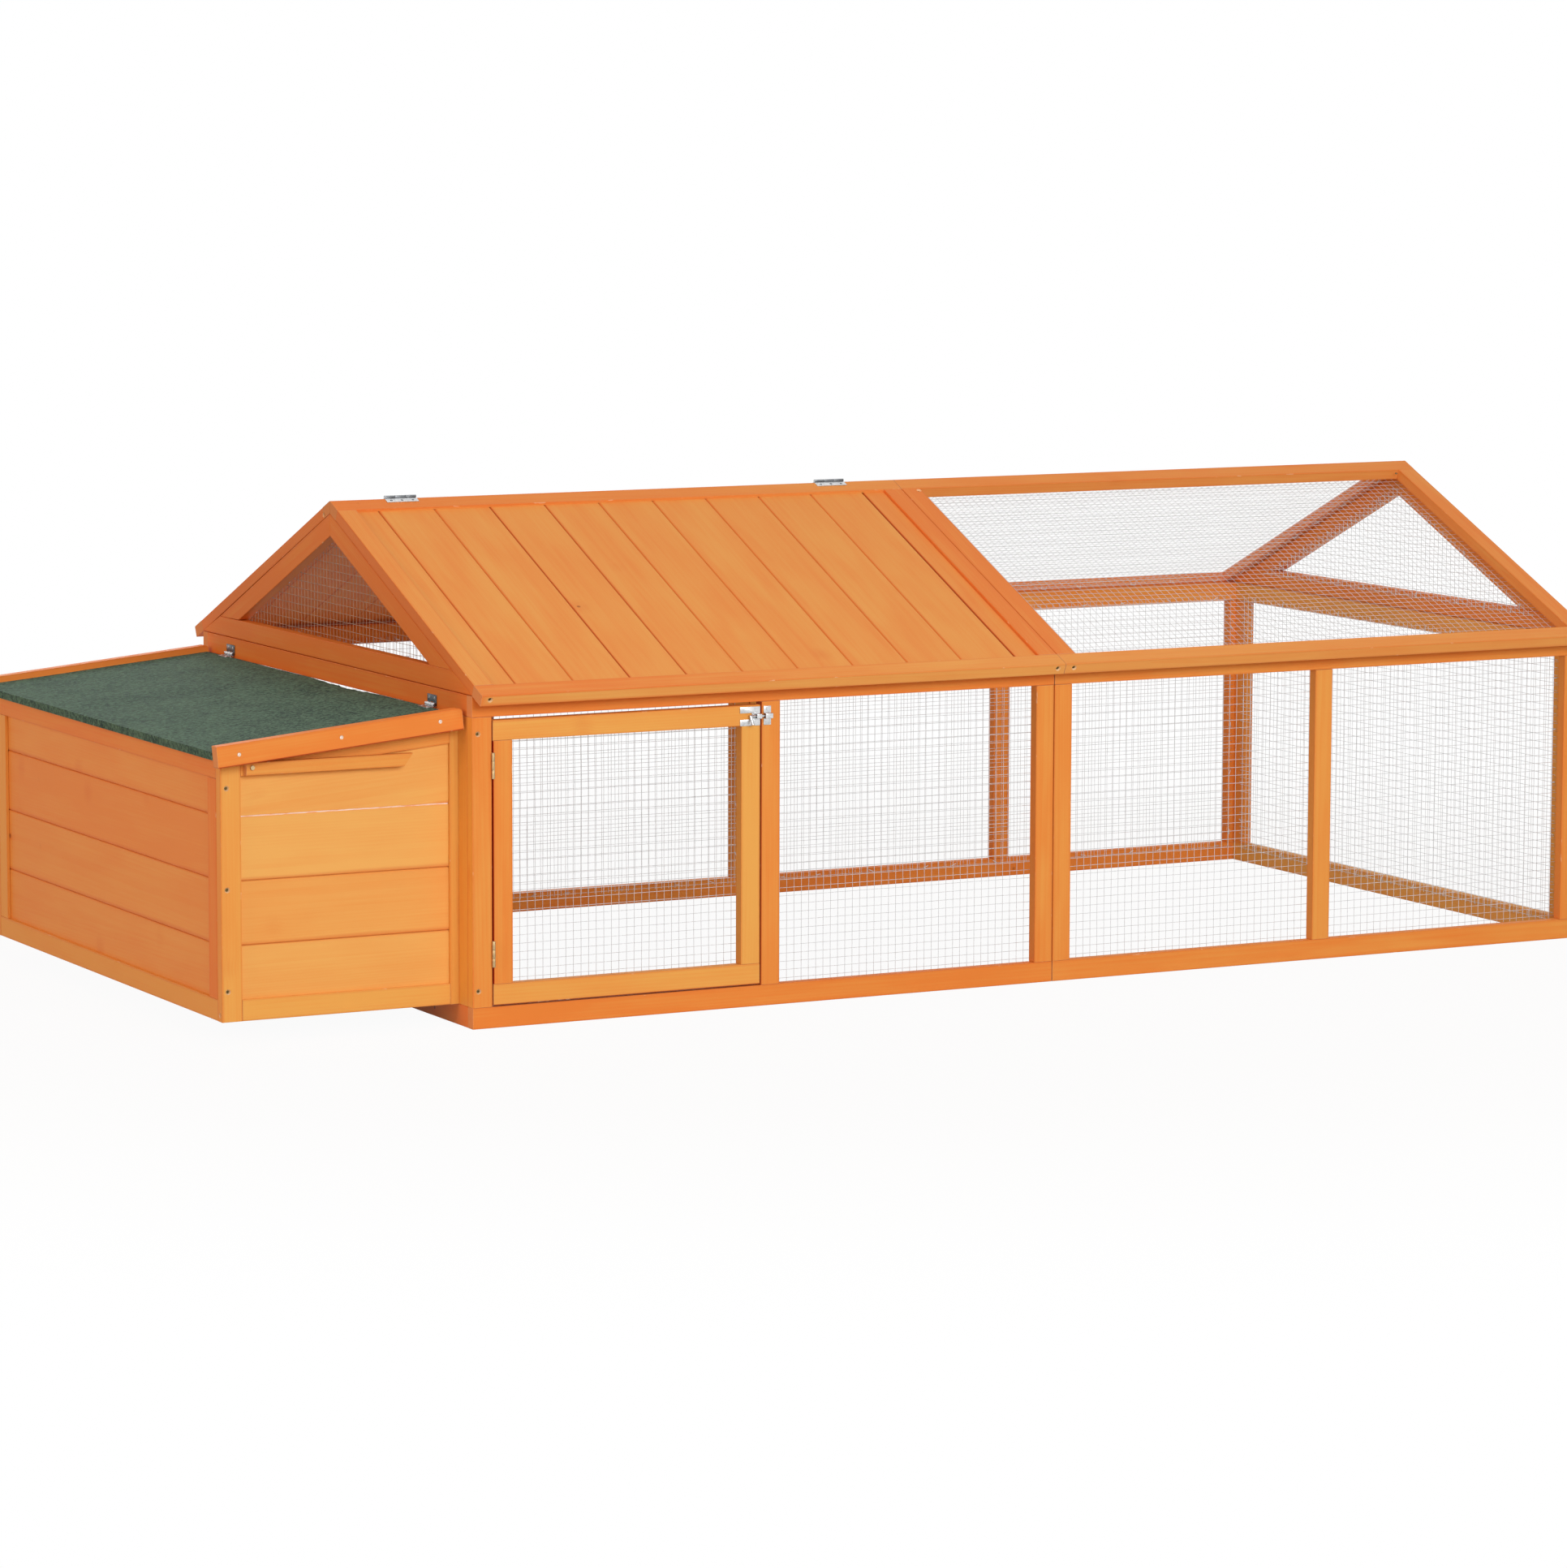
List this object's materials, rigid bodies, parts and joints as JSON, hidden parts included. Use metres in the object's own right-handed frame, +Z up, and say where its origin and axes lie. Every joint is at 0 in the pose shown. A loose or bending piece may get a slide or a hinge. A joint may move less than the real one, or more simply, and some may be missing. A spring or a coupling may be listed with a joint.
{
  "type": "chicken coop",
  "caption": "Low wooden chicken coop with a boarded house bay, a wire mesh run bay, a hinged roof panel, a bolted door and a nest box with a felted lid.",
  "frame": {"origin": "middle of the footprint at ground level", "axes": "+X from the nest box to the run's end, -Y to the front with the door, +Z up"},
  "size_m": [2.395, 1.123, 0.7564],
  "materials": {
    "frame_wood": "honey stained softwood",
    "board_wood": "honey stained softwood boards",
    "wire": "galvanised wire",
    "zinc": "bright zinc plate",
    "felt": "green mineral roofing felt"
  },
  "bodies": {
    "coop": {"house_front_rails": "frame_wood", "house_front_stiles": "frame_wood", "run_front_rails": "frame_wood", "run_front_stiles": "frame_wood", "house_rear_frame": "frame_wood", "run_rear_frame": "frame_wood", "house_end_rails": "frame_wood", "house_end_stiles": "frame_wood", "run_end_frame": "frame_wood", "house_gable_frame": "frame_wood", "run_gable_frame": "frame_wood", "house_roof_rear_frame": "frame_wood", "run_roof_front_frame": "frame_wood", "run_roof_rear_frame": "frame_wood", "nest_front_frame": "frame_wood", "nest_rear_frame": "frame_wood", "nest_end_frame": "frame_wood", "house_roof_rear_planks": "board_wood", "nest_front_boards": "board_wood", "nest_rear_boards": "board_wood", "nest_end_boards": "board_wood", "nest_floor": "board_wood", "house_front_mesh": "wire", "run_front_mesh": "wire", "house_rear_mesh": "wire", "run_rear_mesh": "wire", "run_end_mesh": "wire", "house_gable_mesh": "wire", "run_gable_mesh": "wire", "run_roof_front_mesh": "wire", "run_roof_rear_mesh": "wire", "door_hinge_frame_leaves": "zinc", "ridge_hinge_rear_leaves": "zinc", "lid_hinge_wall_leaves": "zinc", "bolt_keeper": "zinc", "prop_pivot_screw": "zinc"},
    "door": {"door_rails": "frame_wood", "door_stiles": "frame_wood", "door_mesh": "wire", "door_hinge_door_leaves": "zinc", "bolt_base": "zinc"},
    "bolt": {"bolt_rod": "zinc"},
    "roof_panel": {"house_roof_front_frame": "frame_wood", "house_roof_front_planks": "board_wood", "ridge_hinge_front_leaves": "zinc"},
    "nest_lid": {"nest_lid_board": "board_wood", "nest_lid_felt": "felt", "nest_lid_battens": "frame_wood", "lid_hinge_lid_leaves": "zinc"},
    "prop": {"lid_prop": "frame_wood"}
  },
  "joints": [
    {"name": "door_hinge", "type": "hinge", "parent": "coop", "child": "door", "pos_m": [-0.7655, -0.528, 0.2535], "axis": [0, 0, -1], "range_deg": [0, 165]},
    {"name": "bolt_slide", "type": "slide", "parent": "door", "child": "bolt", "axis": [1, 0, 0], "range_m": [-0.0085, 0.006]},
    {"name": "roof_hinge", "type": "hinge", "parent": "coop", "child": "roof_panel", "pos_m": [-0.3, 0, 0.75429], "axis": [-1, 0, 0], "range_deg": [0, 225]},
    {"name": "nest_lid_hinge", "type": "hinge", "parent": "coop", "child": "nest_lid", "pos_m": [-0.8019, 0, 0.47449], "axis": [0, 1, 0], "range_deg": [0, 68]},
    {"name": "prop_pivot", "type": "hinge", "parent": "coop", "child": "prop", "pos_m": [-1.1335, -0.4805, 0.40798], "axis": [0, 1, 0], "range_deg": [-5, 90]}
  ]
}
